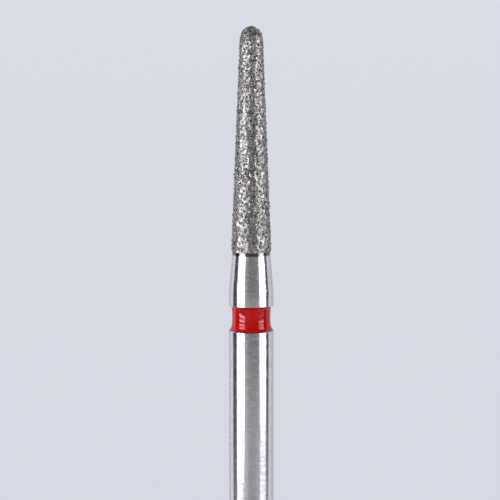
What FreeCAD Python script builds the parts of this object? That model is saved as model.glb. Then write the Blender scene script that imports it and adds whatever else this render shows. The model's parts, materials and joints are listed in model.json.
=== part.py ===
"""Friction-grip diamond bur with a tapered, round-ended head and a red grit ring.

A stainless blank is turned in one piece: a plain shank that the handpiece's chuck
grips, a groove for the colour ring, a short land, a neck that narrows to the head and
a tapered core. The core is plated with nickel, the nickel holds the diamond grit, and
the groove is filled with glossy red lacquer.

Millimetres. +Z runs up the bur's axis from the shank's end, at the origin, to the tip.
"""

import FreeCAD
import Part

import math
import os
import random

from FreeCAD import Vector

# The shank, which a friction-grip chuck holds
shank_diameter = 1.60
shank_end_chamfer = 0.20
grip_length = 10.13

# The groove for the colour ring, and the land above it
groove_width = 0.86
groove_depth = 0.17
groove_top_chamfer = 0.045
groove_foot_chamfer = 0.015
land_length = 0.49

# The lacquer in the groove, which is hollow, with its waist nearer to the shank than to the land
ring_waist_depth = 0.112
ring_waist_height = 0.38

# The neck, a cone from the land to the head
neck_length = 1.46
neck_blend_radius = 3.0

# The head, measured over the grit
head_length = 8.06
head_diameter = 1.48
head_half_angle = math.radians(2.27)
nose_length = 0.52
tip_round = 0.39

# The nickel bond and the grains that stand out of it
bond_thickness = 0.045
bond_edge_radius = 0.025
grain_height = 0.022
grain_radius = 0.038
grain_spacing = 0.162
grain_seed = 7

# Levels along the axis, from the shank's end
groove_foot = grip_length
groove_top = groove_foot + groove_width
land_top = groove_top + land_length
head_base = land_top + neck_length
tip = head_base + head_length
nose_base = tip - nose_length

shank_radius = shank_diameter / 2
groove_radius = shank_radius - groove_depth
bond_depth = grain_height
core_depth = grain_height + bond_thickness

golden_angle = math.pi * (3 - math.sqrt(5))


def at(radius, level, turn=0.0):
    """The point at that radius and level, turned about the bur's axis."""
    return Vector(radius * math.cos(turn), radius * math.sin(turn), level)


def straight(start, end):
    return Part.LineSegment(at(*start), at(*end)).toShape()


def chain(*points):
    """Straight edges from point to point."""
    return [straight(a, b) for a, b in zip(points, points[1:])]


def turned(edges):
    """The solid that a closed half section sweeps about the axis."""
    outline = Part.Wire(Part.__sortEdges__(edges))
    return Part.Face(outline).revolve(Vector(0, 0, 0), Vector(0, 0, 1), 360)


def head_radius(depth, level):
    """The radius of the taper at that level, at that depth under the tops of the grains."""
    base = head_diameter / 2 - depth / math.cos(head_half_angle)
    return base - (level - head_base) * math.tan(head_half_angle)


def nose_foot(depth):
    """Where the taper ends and the nose begins, at that depth."""
    level = nose_base - depth * math.sin(head_half_angle)
    return (head_radius(depth, level), level)


def nose(depth):
    """The nose at that depth: an arc centred on the axis, and a wider one that joins the taper."""
    square = at(math.cos(head_half_angle), math.sin(head_half_angle))
    tip_centre = at(0, tip - tip_round)
    reach = at(*nose_foot(0)) - tip_centre
    wide_round = (reach.dot(reach) - tip_round**2) / (2 * (reach.dot(square) - tip_round))
    wide_centre = tip_centre + reach - square * wide_round
    join = (tip_centre - wide_centre).normalize()
    up = at(0, 1)

    def arc(centre, radius, start, end):
        middle = (start + end).normalize()
        points = [centre + way * (radius - depth) for way in (start, middle, end)]
        return Part.Arc(*points).toShape()

    return [
        arc(wide_centre, wide_round, square, join),
        arc(tip_centre, tip_round, join, up),
    ]


def blend(start, corner, end, radius):
    """Two straight edges that meet at corner, with an arc of that radius between them."""
    corner_point = at(*corner)
    back = (at(*start) - corner_point).normalize()
    ahead = (at(*end) - corner_point).normalize()
    half_turn = (math.pi - back.getAngle(ahead)) / 2
    reach = radius * math.tan(half_turn)
    inwards = (back + ahead).normalize()
    first = corner_point + back * reach
    last = corner_point + ahead * reach
    middle = corner_point + inwards * (radius / math.cos(half_turn) - radius)
    return [
        Part.LineSegment(at(*start), first).toShape(),
        Part.Arc(first, middle, last).toShape(),
        Part.LineSegment(last, at(*end)).toShape(),
    ]


def lip(edge, waist):
    """The hollow arc from an edge of the groove to the lacquer's waist, upright at the waist."""
    rise = edge[0] - waist[0]
    height = edge[1] - waist[1]
    radius = (rise**2 + height**2) / (2 * rise)
    half_angle = math.asin(abs(height) / radius) / 2
    side = math.copysign(1, height)
    middle = (
        waist[0] + radius * (1 - math.cos(half_angle)),
        waist[1] + side * radius * math.sin(half_angle),
    )
    return Part.Arc(at(*edge), at(*middle), at(*waist)).toShape()


def shank_blank():
    """The turned steel blank, from the shank's end to the core's tip."""
    lower = chain(
        (0, 0),
        (shank_radius - shank_end_chamfer, 0),
        (shank_radius, shank_end_chamfer),
        (shank_radius, groove_foot - groove_foot_chamfer),
        (shank_radius - groove_foot_chamfer, groove_foot),
        (groove_radius, groove_foot),
        (groove_radius, groove_top),
        (shank_radius - groove_top_chamfer, groove_top),
        (shank_radius, groove_top + groove_top_chamfer),
    )
    core_base = (head_radius(core_depth, head_base), head_base)
    neck = blend(
        (shank_radius, groove_top + groove_top_chamfer),
        (shank_radius, land_top),
        core_base,
        neck_blend_radius,
    )
    core = [straight(core_base, nose_foot(core_depth))] + nose(core_depth)
    axis = [straight((0, tip - core_depth), (0, 0))]
    return turned(lower + neck + core + axis)


def nickel_bond():
    """The plated layer on the core, with a rounded lower edge at the neck."""
    inner = head_radius(core_depth, head_base)
    outer = head_radius(bond_depth, head_base)
    edge = min(bond_edge_radius, (outer - inner) / 2)
    rounded = blend(
        (inner, head_base),
        (outer, head_base),
        nose_foot(bond_depth),
        edge,
    )
    wall = straight(nose_foot(core_depth), (inner, head_base))
    closing = straight((0, tip - bond_depth), (0, tip - core_depth))
    return turned(rounded + nose(bond_depth) + [closing, wall] + nose(core_depth))


def grit_ring():
    """The red lacquer that fills the groove."""
    waist = (shank_radius - ring_waist_depth, groove_foot + ring_waist_height)
    top_edge = (shank_radius - groove_top_chamfer, groove_top)
    foot_edge = (shank_radius - groove_foot_chamfer, groove_foot)
    walls = chain(top_edge, (groove_radius, groove_top), (groove_radius, groove_foot), foot_edge)
    return turned(walls + [lip(top_edge, waist), lip(foot_edge, waist)])


def crystal(centre, outwards, corners, size, height, twist, lean):
    """The part of one grain that stands out of the nickel: a low pyramid on a flat foot."""
    across = outwards.cross(Vector(0, 0, 1))
    across.normalize()
    along = outwards.cross(across)
    foot = []
    for corner in range(corners):
        angle = twist + 2 * math.pi * corner / corners
        foot.append(centre + (across * math.cos(angle) + along * math.sin(angle)) * size)
    peak = centre + outwards * height + (across * lean[0] + along * lean[1]) * size
    faces = [Part.Face(Part.makePolygon(foot + foot[:1]))]
    for here, there in zip(foot, foot[1:] + foot[:1]):
        faces.append(Part.Face(Part.makePolygon([here, there, peak, here])))
    return Part.Solid(Part.makeShell(faces))


def grit():
    """Grains over the whole head, spread evenly along a golden-angle spiral from the neck."""
    lowest = head_base + grain_spacing / 2
    side = straight((head_radius(bond_depth, lowest), lowest), nose_foot(bond_depth))
    steps = 600
    outline = Part.Wire([side] + nose(bond_depth)).discretize(Number=steps)
    swept = [0.0]
    for low, high in zip(outline, outline[1:]):
        swept.append(swept[-1] + math.pi * (low.x + high.x) * (high - low).Length)
    count = round(swept[-1] / grain_spacing**2)
    chance = random.Random(grain_seed)
    grains = []
    step = 0
    for number in range(count):
        wanted = swept[-1] * (number + 0.5) / count
        while swept[step + 1] < wanted:
            step += 1
        low = outline[step]
        high = outline[step + 1]
        share = (wanted - swept[step]) / (swept[step + 1] - swept[step])
        place = low + (high - low) * share
        slope = (high - low).normalize()
        turn = number * golden_angle
        outwards = at(slope.z, -slope.x, turn)
        grains.append(
            crystal(
                at(place.x, place.z, turn),
                outwards,
                corners=chance.choice((3, 4)),
                size=grain_radius * chance.uniform(0.75, 1.0),
                height=grain_height * chance.uniform(0.6, 1.0),
                twist=chance.uniform(0, math.pi),
                lean=(chance.uniform(-0.3, 0.3), chance.uniform(-0.3, 0.3)),
            )
        )
    return Part.makeCompound(grains)


def main():
    os.makedirs("parts", exist_ok=True)
    nodes = {
        "shank_blank": shank_blank(),
        "nickel_bond": nickel_bond(),
        "diamond_grit": grit(),
        "colour_ring": grit_ring(),
    }
    for name, shape in nodes.items():
        shape.exportStep(f"parts/{name}.step")
        box = shape.BoundBox
        print(
            f"{name}: {len(shape.Solids)} solids, valid {shape.isValid()}, "
            f"{shape.Volume:.4f} mm3, z {box.ZMin:.3f} to {box.ZMax:.3f}, "
            f"radius {box.XMax:.4f}"
        )


main()
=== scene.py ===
"""The looks of a friction-grip diamond bur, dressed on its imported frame.

Everything is in metres. +Z runs up the bur's axis, from the shank's end to the tip.
"""

import json
import math
import random

import bmesh
import bpy
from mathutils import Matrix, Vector

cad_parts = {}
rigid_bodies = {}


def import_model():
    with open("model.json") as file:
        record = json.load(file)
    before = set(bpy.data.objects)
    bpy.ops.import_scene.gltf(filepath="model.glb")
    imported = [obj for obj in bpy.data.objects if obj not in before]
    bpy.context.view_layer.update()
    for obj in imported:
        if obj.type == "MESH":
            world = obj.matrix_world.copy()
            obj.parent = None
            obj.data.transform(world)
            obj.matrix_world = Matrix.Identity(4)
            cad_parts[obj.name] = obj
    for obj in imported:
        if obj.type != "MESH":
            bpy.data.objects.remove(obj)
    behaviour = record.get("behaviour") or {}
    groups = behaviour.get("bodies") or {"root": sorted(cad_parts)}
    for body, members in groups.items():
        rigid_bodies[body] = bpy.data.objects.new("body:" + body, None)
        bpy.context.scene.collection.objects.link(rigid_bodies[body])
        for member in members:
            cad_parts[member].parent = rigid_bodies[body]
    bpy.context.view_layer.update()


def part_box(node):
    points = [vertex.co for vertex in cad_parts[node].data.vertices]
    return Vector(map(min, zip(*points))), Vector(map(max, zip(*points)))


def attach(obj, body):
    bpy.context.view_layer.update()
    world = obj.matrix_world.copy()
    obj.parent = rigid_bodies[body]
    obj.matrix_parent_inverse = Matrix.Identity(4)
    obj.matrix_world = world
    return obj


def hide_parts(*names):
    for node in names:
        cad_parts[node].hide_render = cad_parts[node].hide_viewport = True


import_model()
mm = 0.001


# The steel blank
# One piece of stainless steel, turned and ground: a plain shank, a groove for the colour
# ring, a short land, a neck and the core of the head. The turning marks run round it.

shank_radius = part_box("shank_blank")[1].x
shank_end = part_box("shank_blank")[0].z
shank_end_chamfer = 0.20 * mm
edge_round = 0.015 * mm

groove_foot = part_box("colour_ring")[0].z
groove_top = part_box("colour_ring")[1].z
groove_depth = 0.17 * mm
groove_radius = shank_radius - groove_depth
groove_foot_edge = 0.065 * mm
groove_top_edge = 0.03 * mm
land_length = 0.49 * mm
land_top = groove_top + land_length
neck_blend = 3.0 * mm

head_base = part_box("nickel_bond")[0].z
head_half_angle = math.radians(2.27)
bond_foot_radius = 0.718 * mm
bond_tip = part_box("nickel_bond")[1].z
bond_thickness = bond_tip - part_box("shank_blank")[1].z
nose_length = 0.52 * mm
tip_round = 0.39 * mm
grit_height = 0.022 * mm

turned_facets = 192
arc_steps = 8
seam_gap = 0.0001 * mm
sharpest_bend = math.radians(20)

steel_colour = (0.66, 0.65, 0.67)
fine_lines = 40000
fine_wander = 5000
coarse_lines = 12000
coarse_wander = 4000
noise_spread = (0.3, 0.7)
both_marks_spread = (0.7, 1.3)
mark_depth = 0.0012 * mm
mark_shade = (0.86, 1.12)
mark_roughness = (0.10, 0.20)
# Painted shade: a thin dark band just under the coat, for the coat's shadow and its dark reflection
# in the neck
painted_shade_height = 0.15 * mm
painted_shade_full = 0.6 * painted_shade_height
painted_shade_darkness = 0.22


def node(tree, kind, inputs=None, **settings):
    """A new node in the tree, with its settings, and its inputs set or linked."""
    made = tree.nodes.new(kind)
    for name, value in settings.items():
        setattr(made, name, value)
    for key, value in (inputs or {}).items():
        if isinstance(value, bpy.types.NodeSocket):
            tree.links.new(value, made.inputs[key])
        else:
            made.inputs[key].default_value = value
    return made


def new_tree(name, kind, sockets_in, sockets_out):
    """A node tree with its group input and output, and named sockets with their defaults."""
    tree = bpy.data.node_groups.new(name, kind)
    for in_out, sockets in (("INPUT", sockets_in), ("OUTPUT", sockets_out)):
        for label, (socket_kind, default) in sockets.items():
            socket = tree.interface.new_socket(label, in_out=in_out, socket_type=socket_kind)
            if default is not None:
                socket.default_value = default
    given = tree.nodes.new("NodeGroupInput").outputs
    result = tree.nodes.new("NodeGroupOutput")
    return tree, given, result


def arc(centre, radius, start, end, steps=arc_steps):
    """Points of an arc in the half plane. Angles are in radians, from straight outwards."""
    points = []
    for step in range(steps + 1):
        angle = start + (end - start) * step / steps
        points.append((centre[0] + radius * math.cos(angle), centre[1] + radius * math.sin(angle)))
    return points


def outline(*corners):
    """Points of an outline through corners of (radius, level, rounding)."""
    points = []
    for number, (radius, level, rounding) in enumerate(corners):
        if rounding == 0:
            points.append((radius, level))
            continue
        corner = Vector((radius, level))
        back = (Vector(corners[number - 1][:2]) - corner).normalized()
        ahead = (Vector(corners[number + 1][:2]) - corner).normalized()
        half_turn = (math.pi - back.angle(ahead)) / 2
        centre = corner + (back + ahead).normalized() * rounding / math.cos(half_turn)
        first = corner + back * rounding * math.tan(half_turn) - centre
        last = corner + ahead * rounding * math.tan(half_turn) - centre
        start = math.atan2(first.y, first.x)
        swing = math.remainder(math.atan2(last.y, last.x) - start, math.tau)
        points += arc(centre, rounding, start, start + swing)
    return points


def taper_radius(depth, level):
    """The head's radius at that level, at that depth under the nickel's surface."""
    foot = bond_foot_radius - depth / math.cos(head_half_angle)
    return foot - (level - head_base) * math.tan(head_half_angle)


def nose(depth):
    """Points of the round nose: an arc that joins the taper, then one centred on the axis."""
    full = depth + grit_height
    grit_tip = bond_tip + grit_height
    nose_foot = Vector((taper_radius(-grit_height, grit_tip - nose_length), grit_tip - nose_length))
    square = Vector((math.cos(head_half_angle), math.sin(head_half_angle)))
    tip_centre = Vector((0, grit_tip - tip_round))
    reach = nose_foot - tip_centre
    wide = (reach.dot(reach) - tip_round**2) / (2 * (reach.dot(square) - tip_round))
    wide_centre = nose_foot - square * wide
    join = tip_centre - wide_centre
    join_angle = math.atan2(join.y, join.x)
    points = arc(wide_centre, wide - full, head_half_angle, join_angle)
    return points + arc(tip_centre, tip_round - full, join_angle, math.pi / 2)[1:]


def turning_tree():
    """Turns an outline, given as a chain of edges in the XZ plane, into a closed skin."""
    tree, given, result = new_tree(
        "Turned on a lathe",
        "GeometryNodeTree",
        {"Outline": ("NodeSocketGeometry", None), "Facets": ("NodeSocketInt", turned_facets)},
        {"Skin": ("NodeSocketGeometry", None)},
    )
    rows = node(tree, "GeometryNodeAttributeDomainSize", {"Geometry": given["Outline"]})
    rows = rows.outputs["Point Count"]
    columns = node(tree, "FunctionNodeIntegerMath", {0: given["Facets"], 1: 1}, operation="ADD")
    grid = node(
        tree,
        "GeometryNodeMeshGrid",
        {"Vertices X": columns.outputs[0], "Vertices Y": rows},
    )
    index = node(tree, "GeometryNodeInputIndex").outputs[0]
    row = node(tree, "FunctionNodeIntegerMath", {0: index, 1: rows}, operation="MODULO")
    column = node(tree, "FunctionNodeIntegerMath", {0: index, 1: rows}, operation="DIVIDE_FLOOR")
    place = node(
        tree,
        "GeometryNodeSampleIndex",
        {
            "Geometry": given["Outline"],
            "Value": node(tree, "GeometryNodeInputPosition").outputs[0],
            "Index": row.outputs[0],
        },
        data_type="FLOAT_VECTOR",
    )
    share = node(
        tree, "ShaderNodeMath", {0: column.outputs[0], 1: given["Facets"]}, operation="DIVIDE"
    )
    angle = node(tree, "ShaderNodeMath", {0: share.outputs[0], 1: math.tau}, operation="MULTIPLY")
    turned = node(
        tree,
        "ShaderNodeVectorRotate",
        {"Vector": place.outputs[0], "Angle": angle.outputs[0]},
        rotation_type="Z_AXIS",
    )
    skin = node(
        tree,
        "GeometryNodeSetPosition",
        {"Geometry": grid.outputs["Mesh"], "Position": turned.outputs[0]},
    )
    closed = node(
        tree, "GeometryNodeMergeByDistance", {"Geometry": skin.outputs[0], "Distance": seam_gap}
    )
    tree.links.new(closed.outputs[0], result.inputs["Skin"])
    return tree


turning = turning_tree()


def turned_piece_tree():
    """A turned skin, smooth but for its corners, with ripples of a length, width and height."""
    tree, given, result = new_tree(
        "Turned piece",
        "GeometryNodeTree",
        {
            "Outline": ("NodeSocketGeometry", None),
            "Facets": ("NodeSocketInt", turned_facets),
            "Sharpest Bend": ("NodeSocketFloat", sharpest_bend),
            "Ripple Height": ("NodeSocketFloat", 0.0),
            "Ripple Width": ("NodeSocketFloat", mm),
            "Ripple Length": ("NodeSocketFloat", mm),
            "Material": ("NodeSocketMaterial", None),
        },
        {"Piece": ("NodeSocketGeometry", None)},
    )
    skin = node(
        tree,
        "GeometryNodeGroup",
        {"Outline": given["Outline"], "Facets": given["Facets"]},
        node_tree=turning,
    )
    period = node(
        tree,
        "ShaderNodeCombineXYZ",
        {0: given["Ripple Width"], 1: given["Ripple Width"], 2: given["Ripple Length"]},
    )
    place = node(
        tree,
        "ShaderNodeVectorMath",
        {0: node(tree, "GeometryNodeInputPosition").outputs[0], 1: period.outputs[0]},
        operation="DIVIDE",
    )
    noise = node(
        tree,
        "ShaderNodeTexNoise",
        {"Vector": place.outputs[0], "Scale": 1.0, "Detail": 0.0},
    )
    centred = node(tree, "ShaderNodeMath", {0: noise.outputs["Fac"], 1: -0.5}, operation="ADD")
    height = node(
        tree,
        "ShaderNodeMath",
        {0: centred.outputs[0], 1: given["Ripple Height"]},
        operation="MULTIPLY",
    )
    offset = node(
        tree,
        "ShaderNodeVectorMath",
        {0: node(tree, "GeometryNodeInputNormal").outputs[0], "Scale": height.outputs[0]},
        operation="SCALE",
    )
    rippled = node(
        tree,
        "GeometryNodeSetPosition",
        {"Geometry": skin.outputs[0], "Offset": offset.outputs[0]},
    )
    bend = node(tree, "GeometryNodeInputMeshEdgeAngle").outputs["Unsigned Angle"]
    gentle = node(
        tree, "FunctionNodeCompare", {"A": bend, "B": given["Sharpest Bend"]}, operation="LESS_THAN"
    )
    smooth = node(
        tree, "GeometryNodeSetShadeSmooth", {"Geometry": rippled.outputs[0]}, domain="FACE"
    )
    creased = node(
        tree,
        "GeometryNodeSetShadeSmooth",
        {"Geometry": smooth.outputs[0], "Shade Smooth": gentle.outputs[0]},
        domain="EDGE",
    )
    real = node(tree, "GeometryNodeRealizeInstances", {"Geometry": creased.outputs[0]})
    dressed = node(
        tree,
        "GeometryNodeSetMaterial",
        {"Geometry": real.outputs[0], "Material": given["Material"]},
    )
    tree.links.new(dressed.outputs[0], result.inputs[0])
    return tree


turned_piece = turned_piece_tree()


def grown(name, points, tree, **values):
    """A plain mesh object that the tree grows from an outline of (radius, level) points."""
    chain = bpy.data.meshes.new(name)
    shaded_edges = [(number, number + 1) for number in range(len(points) - 1)]
    chain.from_pydata([(radius, 0, level) for radius, level in points], shaded_edges, [])
    seed = bpy.data.objects.new(name + "_outline", chain)
    bpy.context.collection.objects.link(seed)
    modifier = seed.modifiers.new("Grow", "NODES")
    modifier.node_group = tree
    for socket in tree.interface.items_tree:
        if socket.in_out == "INPUT" and socket.name in values:
            modifier[socket.identifier] = values[socket.name]
    depsgraph = bpy.context.evaluated_depsgraph_get()
    mesh = bpy.data.meshes.new_from_object(seed.evaluated_get(depsgraph), depsgraph=depsgraph)
    seed.modifiers.remove(modifier)
    bpy.data.objects.remove(seed)
    mesh.name = name
    piece = bpy.data.objects.new(name, mesh)
    bpy.context.collection.objects.link(piece)
    return piece


def turning_marks():
    """Fine uneven lines round the axis, on cylinders, cones and flat ends alike."""
    tree, given, result = new_tree(
        "Turning marks",
        "ShaderNodeTree",
        {
            "Lines per Metre": ("NodeSocketFloat", fine_lines),
            "Wander per Metre": ("NodeSocketFloat", fine_wander),
        },
        {"Height": ("NodeSocketFloat", None)},
    )
    where = node(tree, "ShaderNodeTexCoord").outputs["Object"]
    apart = node(tree, "ShaderNodeSeparateXYZ", {0: where})
    flat = node(tree, "ShaderNodeCombineXYZ", {0: apart.outputs[0], 1: apart.outputs[1]})
    radius = node(tree, "ShaderNodeVectorMath", {0: flat.outputs[0]}, operation="LENGTH")
    along = node(tree, "ShaderNodeMath", {0: apart.outputs[2], 1: radius.outputs["Value"]})
    lines = node(
        tree,
        "ShaderNodeMath",
        {0: along.outputs[0], 1: given["Lines per Metre"]},
        operation="MULTIPLY",
    )
    around = node(
        tree,
        "ShaderNodeVectorMath",
        {0: flat.outputs[0], "Scale": given["Wander per Metre"]},
        operation="SCALE",
    )
    place = node(tree, "ShaderNodeSeparateXYZ", {0: around.outputs[0]})
    place = node(
        tree,
        "ShaderNodeCombineXYZ",
        {0: place.outputs[0], 1: place.outputs[1], 2: lines.outputs[0]},
    )
    noise = node(
        tree,
        "ShaderNodeTexNoise",
        {"Vector": place.outputs[0], "Scale": 1.0, "Detail": 3.0, "Roughness": 0.6},
    )
    tree.links.new(noise.outputs["Fac"], result.inputs[0])
    return tree


marks = turning_marks()


def marked(tree, lines, wander):
    """The height of turning marks with that many lines to the metre, as a socket."""
    made = node(
        tree,
        "ShaderNodeGroup",
        {"Lines per Metre": lines, "Wander per Metre": wander},
        node_tree=marks,
    )
    return made.outputs[0]


def ranged(tree, value, source, target=(0.0, 1.0), **settings):
    """That value carried over from the source range to the target range, as a socket."""
    made = node(
        tree,
        "ShaderNodeMapRange",
        {
            "Value": value,
            "From Min": source[0],
            "From Max": source[1],
            "To Min": target[0],
            "To Max": target[1],
        },
        **settings,
    )
    return made.outputs[0]


def level_in(tree):
    """How far up the axis each point of the piece lies, as a socket."""
    where = node(tree, "ShaderNodeTexCoord").outputs["Object"]
    return node(tree, "ShaderNodeSeparateXYZ", {0: where}).outputs[2]


def new_material(name):
    """A material with only a Principled BSDF, and that shader."""
    material = bpy.data.materials.new(name)
    material.use_nodes = True
    return material, material.node_tree, material.node_tree.nodes["Principled BSDF"]


def multiply_colour(tree, colour, *factors):
    """That colour times each factor, which is a socket."""
    for factor in factors:
        scaled = node(
            tree, "ShaderNodeVectorMath", {0: colour, "Scale": factor}, operation="SCALE"
        )
        colour = scaled.outputs[0]
    return colour


def steel():
    """Ground stainless steel with turning marks, and a band of painted shade just under the coat.
    """
    material, tree, shader = new_material("turned_stainless_steel")
    shader.inputs["Metallic"].default_value = 1.0
    fine = marked(tree, fine_lines, fine_wander)
    coarse = marked(tree, coarse_lines, coarse_wander)
    both = node(tree, "ShaderNodeMath", {0: fine, 1: coarse}, operation="ADD").outputs[0]
    bump = node(tree, "ShaderNodeBump", {"Strength": 1.0, "Distance": mark_depth, "Height": both})
    rough = ranged(tree, coarse, noise_spread, mark_roughness)
    shade = ranged(tree, both, both_marks_spread, mark_shade)
    # Painted shade just under the coat, for its shadow and reflection
    painted_shade_under_coat = ranged(
        tree,
        level_in(tree),
        (head_base - painted_shade_height, head_base - painted_shade_full),
        (1.0, painted_shade_darkness),
        interpolation_type="SMOOTHSTEP",
    )
    colour = multiply_colour(tree, steel_colour, shade, painted_shade_under_coat)
    tree.links.new(colour, shader.inputs["Base Color"])
    tree.links.new(rough, shader.inputs["Roughness"])
    tree.links.new(bump.outputs[0], shader.inputs["Normal"])
    return material


core_base = taper_radius(bond_thickness, head_base)

# The row just over the groove keeps the smooth shading of its rounded edge off the land
blank = grown(
    "steel_blank",
    outline(
        (0, shank_end, 0),
        (shank_radius - shank_end_chamfer, shank_end, edge_round),
        (shank_radius, shank_end + shank_end_chamfer, edge_round),
        (shank_radius, groove_foot, groove_foot_edge),
        (groove_radius, groove_foot, 0),
        (groove_radius, groove_top, 0),
        (shank_radius, groove_top, groove_top_edge),
        (shank_radius, groove_top + 2 * groove_top_edge, 0),
        (shank_radius, land_top, neck_blend),
        (core_base, head_base, 0),
    )
    + nose(bond_thickness),
    turned_piece,
    Material=steel(),
)
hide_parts("shank_blank")
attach(blank, "root")


# The colour ring
# Glossy red lacquer, run into the groove and baked. It shrinks back to a waist as it dries,
# and its skin keeps faint ripples from the turning marks under it.

ring_waist = 0.684 * mm
ring_skin_slopes = (
    (-0.045, 0.50), (0.0, 0.76), (0.05, 0.65), (0.09, 0.35), (0.15, 0.17), (0.20, 0.12),
    (0.27, 0.05), (0.36, 0.015), (0.41, 0.0), (0.55, -0.04), (0.72, -0.07), (0.76, -0.10),
    (0.80, -0.30), (0.83, -0.90), (0.86, -2.20), (0.88, -0.50),
)
ring_row = 0.008 * mm
lacquer_red = (0.48, 0.001, 0.0008)
lacquer_roughness = 0.3
lacquer_gloss_roughness = 0.02
lacquer_gloss_ior = 1.37
# Painted shade: the lacquer darkens towards both edges of the groove, where the steel walls shade
# it
lacquer_shade_width = 0.08 * mm
lacquer_edge_shade_darkness = 0.30
streak_lines = 12000
streak_wander = 2500
streak_shade = (0.96, 1.04)
ripple_height = 0.0004 * mm
ripple_length = 0.12 * mm
ripple_width = 0.4 * mm


def sloped(slopes, waist, foot, step):
    """Points up a skin that draws in by each slope at each height over the foot, in mm."""
    heights = [height * mm for height, _ in slopes]
    count = round((heights[-1] - heights[0]) / step)
    points = []
    radius = 0.0
    for number in range(count + 1):
        height = heights[0] + (heights[-1] - heights[0]) * number / count
        part = max(place for place, start in enumerate(heights[:-1]) if start <= height + 1e-9)
        share = (height - heights[part]) / (heights[part + 1] - heights[part])
        slope = slopes[part][1] + (slopes[part + 1][1] - slopes[part][1]) * share
        if points:
            radius -= slope * (height - points[-1][1])
        points.append((radius, height))
    narrowest = min(radius for radius, _ in points)
    return [(radius - narrowest + waist, height + foot) for radius, height in points]


def divided(points, longest):
    """The points, with more between them where two are further apart than the longest."""
    fine = [points[0]]
    for start, end in zip(points, points[1:]):
        parts = max(1, math.ceil(math.dist(start, end) / longest))
        for part in range(1, parts + 1):
            share = part / parts
            fine.append(tuple(a + (b - a) * share for a, b in zip(start, end)))
    return fine


ring_skin = sloped(ring_skin_slopes, ring_waist, groove_foot, ring_row)


def lacquer():
    """Red gloss lacquer under a clear skin, faintly streaked, with painted shade at its two edges.
    """
    material, tree, shader = new_material("red_ring_lacquer")
    shader.inputs["Roughness"].default_value = lacquer_roughness
    shader.inputs["Specular IOR Level"].default_value = 0.0
    shader.inputs["Coat Weight"].default_value = 1.0
    shader.inputs["Coat Roughness"].default_value = lacquer_gloss_roughness
    shader.inputs["Coat IOR"].default_value = lacquer_gloss_ior
    streaks = marked(tree, streak_lines, streak_wander)
    shade = ranged(tree, streaks, noise_spread, streak_shade)
    level = level_in(tree)
    # Painted shade at the lacquer's two edges
    shaded_edges = []
    for edge, side in ((ring_skin[0][1], 1), (ring_skin[-1][1], -1)):
        inside = edge + side * lacquer_shade_width
        shaded_edges.append(ranged(tree, level, (edge, inside), (lacquer_edge_shade_darkness, 1.0)))
    colour = multiply_colour(tree, lacquer_red, shade, *shaded_edges)
    tree.links.new(colour, shader.inputs["Base Color"])
    return material


ring = grown(
    "red_ring",
    ring_skin + [(groove_radius, groove_top), (groove_radius, groove_foot), ring_skin[0]],
    turned_piece,
    Material=lacquer(),
    **{
        "Ripple Height": ripple_height,
        "Ripple Length": ripple_length,
        "Ripple Width": ripple_width,
    },
)
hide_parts("colour_ring")
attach(ring, "root")


# The nickel bond
# Nickel that is plated over the core until it grips the grains by more than half their
# height. It grows in small lumps, dull and darker than the steel.

nickel_depth = 0.016 * mm
nickel_lump = 0.14 * mm
nickel_lump_height = 0.062 * mm
nickel_row = 0.021 * mm
nickel_facets = 216
nickel_sharpest_bend = math.radians(80)
nickel_colour = (0.265, 0.257, 0.245)
nickel_pits = 8500
nickel_pit_depth = 0.002 * mm
nickel_roughness = (0.52, 0.44)
nickel_shade = (0.45, 1.42)


def nickel():
    """Dull plated nickel, finely pitted and mottled, and darker and rougher in its pits."""
    material, tree, shader = new_material("plated_nickel")
    shader.inputs["Metallic"].default_value = 1.0
    where = node(tree, "ShaderNodeTexCoord").outputs["Object"]
    noise = node(
        tree,
        "ShaderNodeTexNoise",
        {"Vector": where, "Scale": nickel_pits, "Detail": 1.0},
    )
    pits = noise.outputs["Fac"]
    shade = ranged(tree, pits, noise_spread, nickel_shade)
    rough = ranged(tree, pits, noise_spread, nickel_roughness)
    bump = node(
        tree,
        "ShaderNodeBump",
        {"Strength": 1.0, "Distance": nickel_pit_depth, "Height": pits},
    )
    colour = multiply_colour(tree, nickel_colour, shade)
    tree.links.new(colour, shader.inputs["Base Color"])
    tree.links.new(rough, shader.inputs["Roughness"])
    tree.links.new(bump.outputs[0], shader.inputs["Normal"])
    return material


bond_edge = 0.015 * mm
nickel_wall = outline(
    (core_base, head_base, 0),
    (taper_radius(nickel_depth, head_base), head_base, bond_edge),
    (*nose(nickel_depth)[0], 0),
)[:-1]
nickel_wall += nose(nickel_depth)
bond = grown(
    "nickel_layer",
    divided(nickel_wall, nickel_row) + nose(bond_thickness)[::-1] + [(core_base, head_base)],
    turned_piece,
    Facets=nickel_facets,
    Material=nickel(),
    **{
        "Ripple Height": nickel_lump_height,
        "Ripple Length": nickel_lump,
        "Ripple Width": nickel_lump,
        "Sharpest Bend": nickel_sharpest_bend,
    },
)
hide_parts("nickel_bond")
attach(bond, "root")


# The diamond grit
# Broken crystals of fine diamond, sunk in the nickel to more than half their height. They
# lie at random, about a grain's width apart, over the whole head down to the neck.

grain_shapes = 12
grain_corners = 9
grain_corner_gap = 0.75
grain_corner_reach = (0.85, 1.1)
grain_size = 0.067 * mm
grain_stretch = (0.75, 1.1)
grain_gap = 0.107 * mm
grain_crowding = 4.0
grain_sink = 0.046 * mm
grain_sink_share = (0.7, 1.3)
grit_foot = head_base + grain_size / 2
grit_seed = 4
grain_dark = (0.02, 0.02, 0.02)
grain_pale = (0.28, 0.27, 0.255)
grain_metallic = 0.3
grain_roughness = 0.45
grain_ior = 2.0


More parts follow.
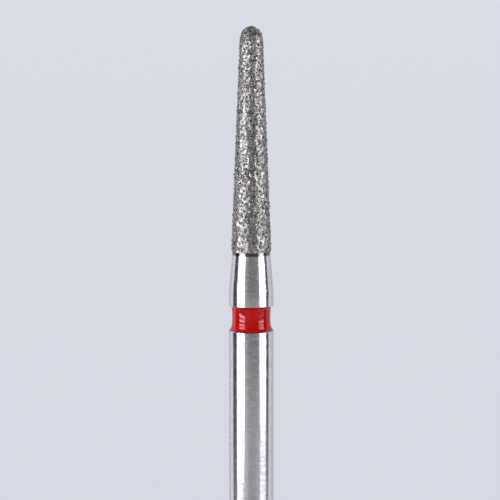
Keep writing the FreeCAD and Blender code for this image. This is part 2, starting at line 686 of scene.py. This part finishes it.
def crystals():
    """A hidden collection of broken crystals, each the hull of a few scattered corners."""
    chance = random.Random(grit_seed)
    shelf = bpy.data.collections.new("crystals")
    for number in range(grain_shapes):
        corners = []
        while len(corners) < grain_corners:
            corner = Vector([chance.gauss(0, 1) for _ in range(3)]).normalized()
            if all((corner - other).length > grain_corner_gap for other in corners):
                corners.append(corner)
        mesh = bpy.data.meshes.new(f"crystal_{number}")
        work = bmesh.new()
        for corner in corners:
            work.verts.new(corner * chance.uniform(*grain_corner_reach))
        bmesh.ops.convex_hull(work, input=work.verts)
        work.to_mesh(mesh)
        work.free()
        shelf.objects.link(bpy.data.objects.new(mesh.name, mesh))
    return shelf


def grit_tree():
    """Crystals strewn over the turned skin, no two nearer than the gap."""
    tree, given, result = new_tree(
        "Strewn grains",
        "GeometryNodeTree",
        {
            "Outline": ("NodeSocketGeometry", None),
            "Crystals": ("NodeSocketCollection", None),
            "Size": ("NodeSocketFloat", grain_size),
            "Gap": ("NodeSocketFloat", grain_gap),
            "Sink": ("NodeSocketFloat", grain_sink),
            "Seed": ("NodeSocketInt", grit_seed),
            "Material": ("NodeSocketMaterial", None),
        },
        {"Grit": ("NodeSocketGeometry", None)},
    )
    skin = node(tree, "GeometryNodeGroup", {"Outline": given["Outline"]}, node_tree=turning)
    area = node(tree, "ShaderNodeMath", {0: given["Gap"], 1: given["Gap"]}, operation="MULTIPLY")
    density = node(
        tree, "ShaderNodeMath", {0: grain_crowding, 1: area.outputs[0]}, operation="DIVIDE"
    )
    spread = node(
        tree,
        "GeometryNodeDistributePointsOnFaces",
        {
            "Mesh": skin.outputs[0],
            "Distance Min": given["Gap"],
            "Density Max": density.outputs[0],
            "Seed": given["Seed"],
        },
        distribute_method="POISSON",
    )

    def chance(low, high, seed):
        """A random value for each grain, a vector where the limits are vectors."""
        kind = "FLOAT_VECTOR" if isinstance(low, tuple) else "FLOAT"
        made = node(
            tree, "FunctionNodeRandomValue", {"Min": low, "Max": high, "Seed": seed}, data_type=kind
        )
        return made.outputs["Value"]

    least, most = grain_sink_share
    down = node(
        tree,
        "ShaderNodeMath",
        {0: chance(-least, -most, 1), 1: given["Sink"]},
        operation="MULTIPLY",
    )
    inwards = node(
        tree,
        "ShaderNodeVectorMath",
        {0: spread.outputs["Normal"], "Scale": down.outputs[0]},
        operation="SCALE",
    )
    sunk = node(
        tree,
        "GeometryNodeSetPosition",
        {"Geometry": spread.outputs["Points"], "Offset": inwards.outputs[0]},
    )
    shapes = node(
        tree,
        "GeometryNodeCollectionInfo",
        {"Collection": given["Crystals"], "Separate Children": True, "Reset Children": True},
    )
    least, most = grain_stretch
    scale = node(
        tree,
        "ShaderNodeVectorMath",
        {0: chance((least,) * 3, (most,) * 3, 3), "Scale": given["Size"]},
        operation="SCALE",
    )
    placed = node(
        tree,
        "GeometryNodeInstanceOnPoints",
        {
            "Points": sunk.outputs[0],
            "Instance": shapes.outputs[0],
            "Pick Instance": True,
            "Rotation": chance((0, 0, 0), (math.tau,) * 3, 2),
            "Scale": scale.outputs[0],
        },
    )
    toned = node(
        tree,
        "GeometryNodeStoreNamedAttribute",
        {"Geometry": placed.outputs[0], "Name": "tone", "Value": chance(0.0, 1.0, 5)},
        data_type="FLOAT",
        domain="INSTANCE",
    )
    real = node(tree, "GeometryNodeRealizeInstances", {"Geometry": toned.outputs[0]})
    dressed = node(
        tree,
        "GeometryNodeSetMaterial",
        {"Geometry": real.outputs[0], "Material": given["Material"]},
    )
    tree.links.new(dressed.outputs[0], result.inputs[0])
    return tree


def diamond():
    """Diamond grains, each of its own tone from clear pale grey to dark."""
    material, tree, shader = new_material("diamond_grain")
    tone = node(tree, "ShaderNodeAttribute", {}, attribute_name="tone")
    shade = node(tree, "ShaderNodeValToRGB", {"Fac": tone.outputs["Fac"]})
    shade.color_ramp.elements[0].color = (*grain_dark, 1)
    shade.color_ramp.elements[1].color = (*grain_pale, 1)
    tree.links.new(shade.outputs[0], shader.inputs["Base Color"])
    shader.inputs["Metallic"].default_value = grain_metallic
    shader.inputs["Roughness"].default_value = grain_roughness
    shader.inputs["IOR"].default_value = grain_ior
    return material


shelf = crystals()
bpy.context.scene.collection.children.link(shelf)
grit = grown(
    "diamond_grains",
    [(taper_radius(0, grit_foot), grit_foot)] + nose(0),
    grit_tree(),
    Crystals=shelf,
    Material=diamond(),
)
for crystal in list(shelf.objects):
    bpy.data.objects.remove(crystal)
bpy.data.collections.remove(shelf)
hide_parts("diamond_grit")
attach(grit, "root")


# The table
# A wide sheet of pale matt card. It keeps the bur's shadow, and further off it shows
# nothing but its own colour, so that it runs on into the backdrop.

table_radius = 450 * mm
table_facets = 96
table_fade = (6 * mm, 20 * mm)
table_near = (0.675, 0.687, 0.765)
table_far = (0.71, 0.72, 0.79)
table_roughness = 0.9


def mixed(tree, share, low, high):
    """The colour that lies at that share of the way between two, as a socket."""
    made = node(
        tree,
        "ShaderNodeMix",
        {"Factor": share, 6: (*low, 1), 7: (*high, 1)},
        data_type="RGBA",
    )
    return made.outputs[2]


def table_card():
    """Pale card near the bur, and far off the card's own colour as the camera sees it."""
    material, tree, shader = new_material("pale_card")
    shader.inputs["Base Color"].default_value = (*table_near, 1)
    shader.inputs["Roughness"].default_value = table_roughness
    shader.inputs["Specular IOR Level"].default_value = 0.0
    where = node(tree, "ShaderNodeTexCoord").outputs["Object"]
    distance = node(tree, "ShaderNodeVectorMath", {0: where}, operation="LENGTH")
    distance = distance.outputs["Value"]
    fade = ranged(tree, distance, table_fade, interpolation_type="SMOOTHSTEP")
    reach = ranged(tree, distance, (table_fade[1], table_radius))
    shown = node(
        tree,
        "ShaderNodeEmission",
        {"Color": mixed(tree, reach, table_near, table_far)},
    )
    seen = node(tree, "ShaderNodeLightPath").outputs["Is Camera Ray"]
    share = node(tree, "ShaderNodeMath", {0: seen, 1: fade}, operation="MULTIPLY")
    both = node(
        tree,
        "ShaderNodeMixShader",
        {0: share.outputs[0], 1: shader.outputs[0], 2: shown.outputs[0]},
    )
    tree.links.new(both.outputs[0], tree.nodes["Material Output"].inputs["Surface"])
    return material


table_mesh = bpy.data.meshes.new("table")
work = bmesh.new()
bmesh.ops.create_circle(work, cap_ends=True, segments=table_facets, radius=table_radius)
work.to_mesh(table_mesh)
work.free()
table_mesh.materials.append(table_card())
table = bpy.data.objects.new("table", table_mesh)
bpy.context.collection.objects.link(table)
table.visible_glossy = False


# The light tent
# A drum round the bur that shows in its gloss alone. Two tall soft boxes stand left and
# right of the camera, each with a dark flag behind it and a grey card between them. The
# room outside the drum lights whatever is matt, three times as strongly from the left.

tent_radius = 60 * mm
tent_foot = -40 * mm
tent_head = 120 * mm
tent_facets = 128
panel_blend = 4
# Each panel starts so many degrees round from the camera, and has a kind and a tint
panels = [
    (-180, "side", (0.68, 0.68, 0.74)),
    (-129, "side", (0.94, 0.94, 0.98)),
    (-107, "flag", (0.08, 0.08, 0.10)),
    (-75.2, "left box", (1.00, 1.00, 1.04)),
    (-38.2, "card", (0.50, 0.49, 0.50)),
    (-15, "card", (0.36, 0.36, 0.37)),
    (25, "card", (0.42, 0.42, 0.44)),
    (46.3, "right box", (1.00, 1.00, 1.04)),
    (79, "flag", (0.10, 0.10, 0.12)),
    (100, "side", (0.84, 0.84, 0.90)),
    (123, "side", (0.64, 0.64, 0.71)),
]
# How bright each kind of panel is at each level, in mm
shades = {
    "side": ((-20, 1.0), (50, 1.0)),
    "flag": ((-20, 5.0), (-12, 4.0), (-6, 3.2), (-3, 2.4), (0, 1.3), (3, 0.9)),
    "card": (
        (-20, 1.2), (-16, 0.5), (-9, 1.4), (-3, 1.25), (1, 1.1), (3, 0.65), (9, 0.7), (13, 0.8),
        (20, 0.3),
    ),
    "left box": (
        (-15, 0.5), (-9, 0.3), (-3.6, 0.2), (-3.2, 12.5), (-1.0, 12.5), (-0.6, 0.4), (0.8, 0.4),
        (1.2, 10.5), (4.1, 10.5), (4.4, 0.3), (6.5, 0.3), (6.8, 13.0), (9.4, 13.0), (10.4, 6.0),
        (13.4, 6.0), (13.8, 2.0), (15.2, 2.0), (15.6, 5.3), (18, 5.3), (20, 8.5), (40, 8.5),
        (44, 0.1),
    ),
    "right box": (
        (-24, 1.8), (-8, 1.8), (-4.4, 0.4), (-3.2, 1.6), (-1.0, 1.6), (-0.6, 0.4), (0.8, 0.4),
        (1.2, 2.8), (2.6, 3.6), (3.0, 9.3), (5.2, 9.3), (5.5, 0.3), (7.4, 0.3), (7.7, 11.5),
        (9.8, 11.5), (10.8, 5.5), (13.4, 5.5), (13.8, 2.0), (15.2, 2.0), (15.6, 4.8), (18, 4.8),
        (20, 6.6), (40, 6.6), (44, 0.1),
    ),
}
shade_levels = (-24 * mm, 50 * mm)
shade_lean = 2.7 * mm
shade_lean_start = 1.0
tent_lid = (0.22, 0.22, 0.24)
tent_floor = (0.55, 0.55, 0.58)
room_left = (2.4, 2.4, 2.4)
room_right = (0.78, 0.78, 0.78)
room_middle = 0.2


def stepped_ramp(tree, value, stops):
    """A colour ramp through (place, colour) stops."""
    ramp = node(tree, "ShaderNodeValToRGB", {"Fac": value})
    elements = ramp.color_ramp.elements
    while len(elements) < len(stops):
        elements.new(0.5)
    for element, (place, _) in zip(elements, stops):
        element.position = place
    for element, (_, colour) in zip(elements, stops):
        element.color = (*colour, 1)
    return ramp.outputs[0]


def new_cloth(name):
    """An empty material for light that is seen only in gloss, so no ray seeks it out."""
    material = bpy.data.materials.new(name)
    material.use_nodes = True
    material.cycles.emission_sampling = "NONE"
    material.node_tree.nodes.clear()
    return material, material.node_tree


def plain_cloth(name, colour):
    """Light of one colour."""
    material, tree = new_cloth(name)
    shine = node(tree, "ShaderNodeEmission", {"Color": (*colour, 1)})
    output = tree.nodes.new("ShaderNodeOutputMaterial")
    tree.links.new(shine.outputs[0], output.inputs["Surface"])
    return material


def tent_cloth():
    """Light that differs by the way round the drum and by level.

    The shades sink by their lean for each radian round from the camera, and are at the
    levels given for them where the lean starts.
    """
    material, tree = new_cloth("light_tent")
    where = node(tree, "ShaderNodeTexCoord").outputs["Object"]
    place = node(tree, "ShaderNodeSeparateXYZ", {0: where})
    towards = node(tree, "ShaderNodeMath", {0: place.outputs[1], 1: -1.0}, operation="MULTIPLY")
    turn = node(
        tree, "ShaderNodeMath", {0: place.outputs[0], 1: towards.outputs[0]}, operation="ARCTAN2"
    )
    share = ranged(tree, turn.outputs[0], (-math.pi, math.pi))
    aside = node(tree, "ShaderNodeMath", {0: turn.outputs[0]}, operation="ABSOLUTE")
    past = node(
        tree, "ShaderNodeMath", {0: aside.outputs[0], 1: -shade_lean_start}, operation="ADD"
    )
    leaning = node(
        tree,
        "ShaderNodeMath",
        {0: past.outputs[0], 1: shade_lean, 2: place.outputs[2]},
        operation="MULTIPLY_ADD",
    )
    height = ranged(tree, leaning.outputs[0], shade_levels)

    def ring_of_panels(colours):
        """A ramp round the drum, as a socket, with blurred edges between the panels."""
        stops = [(0.0, colours[0])]
        for (start, _, _), colour, before in zip(panels[1:], colours[1:], colours):
            for side, shown in ((-0.5, before), (0.5, colour)):
                stops.append(((start + side * panel_blend + 180) / 360, shown))
        return stepped_ramp(tree, share, stops)

    low, high = shade_levels
    total = None
    for kind, steps in shades.items():
        full = max(bright for _, bright in steps)
        stops = []
        for level, bright in steps:
            stops.append(((level * mm - low) / (high - low), (bright / full,) * 3))
        shade = node(
            tree,
            "ShaderNodeVectorMath",
            {0: stepped_ramp(tree, height, stops), "Scale": full},
            operation="SCALE",
        )
        mask = ring_of_panels([(float(name == kind),) * 3 for _, name, _ in panels])
        total = node(
            tree,
            "ShaderNodeVectorMath",
            {0: mask, 1: shade.outputs[0], 2: total or (0.0, 0.0, 0.0)},
            operation="MULTIPLY_ADD",
        ).outputs[0]
    colour = node(
        tree,
        "ShaderNodeVectorMath",
        {0: total, 1: ring_of_panels([tint for _, _, tint in panels])},
        operation="MULTIPLY",
    )
    shine = node(tree, "ShaderNodeEmission", {"Color": colour.outputs[0]})
    output = tree.nodes.new("ShaderNodeOutputMaterial")
    tree.links.new(shine.outputs[0], output.inputs["Surface"])
    return material


tent_mesh = bpy.data.meshes.new("light_tent")
work = bmesh.new()
bmesh.ops.create_cone(
    work,
    cap_ends=True,
    segments=tent_facets,
    radius1=tent_radius,
    radius2=tent_radius,
    depth=tent_head - tent_foot,
)
bmesh.ops.translate(work, verts=work.verts, vec=(0, 0, (tent_head + tent_foot) / 2))
# The wall takes the first cloth, the lid the second and the floor the third
for face in work.faces:
    face.material_index = round(face.normal.z) % 3
bmesh.ops.reverse_faces(work, faces=work.faces)
work.to_mesh(tent_mesh)
work.free()
for cloth in (
    tent_cloth(),
    plain_cloth("light_tent_lid", tent_lid),
    plain_cloth("light_tent_floor", tent_floor),
):
    tent_mesh.materials.append(cloth)
tent = bpy.data.objects.new("light_tent", tent_mesh)
bpy.context.collection.objects.link(tent)
tent.visible_camera = False
tent.visible_diffuse = False


def studio_world():
    """The room round the tent: soft light, and a plain backdrop to the camera."""
    world = bpy.data.worlds.new("studio")
    bpy.context.scene.world = world
    world.use_nodes = True
    tree = world.node_tree
    tree.nodes.clear()
    way = node(tree, "ShaderNodeTexCoord").outputs["Generated"]
    side = node(tree, "ShaderNodeSeparateXYZ", {0: way}).outputs[0]
    across = ranged(tree, side, (-1.0, room_middle))
    light = node(
        tree,
        "ShaderNodeBackground",
        {"Color": mixed(tree, across, room_left, room_right)},
    )
    shown = node(tree, "ShaderNodeBackground", {"Color": (*table_far, 1)})
    seen = node(tree, "ShaderNodeLightPath").outputs["Is Camera Ray"]
    both = node(
        tree,
        "ShaderNodeMixShader",
        {0: seen, 1: light.outputs[0], 2: shown.outputs[0]},
    )
    output = tree.nodes.new("ShaderNodeOutputWorld")
    tree.links.new(both.outputs[0], output.inputs["Surface"])


studio_world()


# The camera
# A long lens from a little above, which looks at the middle of the part that is shown.

camera_distance = 150 * mm
camera_elevation = math.radians(7.6)
camera_side = -0.046 * mm
aim_level = 12.98 * mm
field_width = 17.82 * mm

camera = bpy.data.objects.new("camera", bpy.data.cameras.new("camera"))
bpy.context.collection.objects.link(camera)
camera.data.sensor_width = 36
camera.data.lens = camera.data.sensor_width * camera_distance / field_width
camera.data.clip_start = 10 * mm
camera.data.clip_end = 1.2
aim = Vector((camera_side, 0, aim_level))
back = Vector((0, -math.cos(camera_elevation), math.sin(camera_elevation)))
camera.location = aim + back * camera_distance
camera.rotation_euler = back.to_track_quat("Z", "Y").to_euler()
bpy.context.scene.camera = camera
bpy.context.scene.view_settings.view_transform = "Standard"
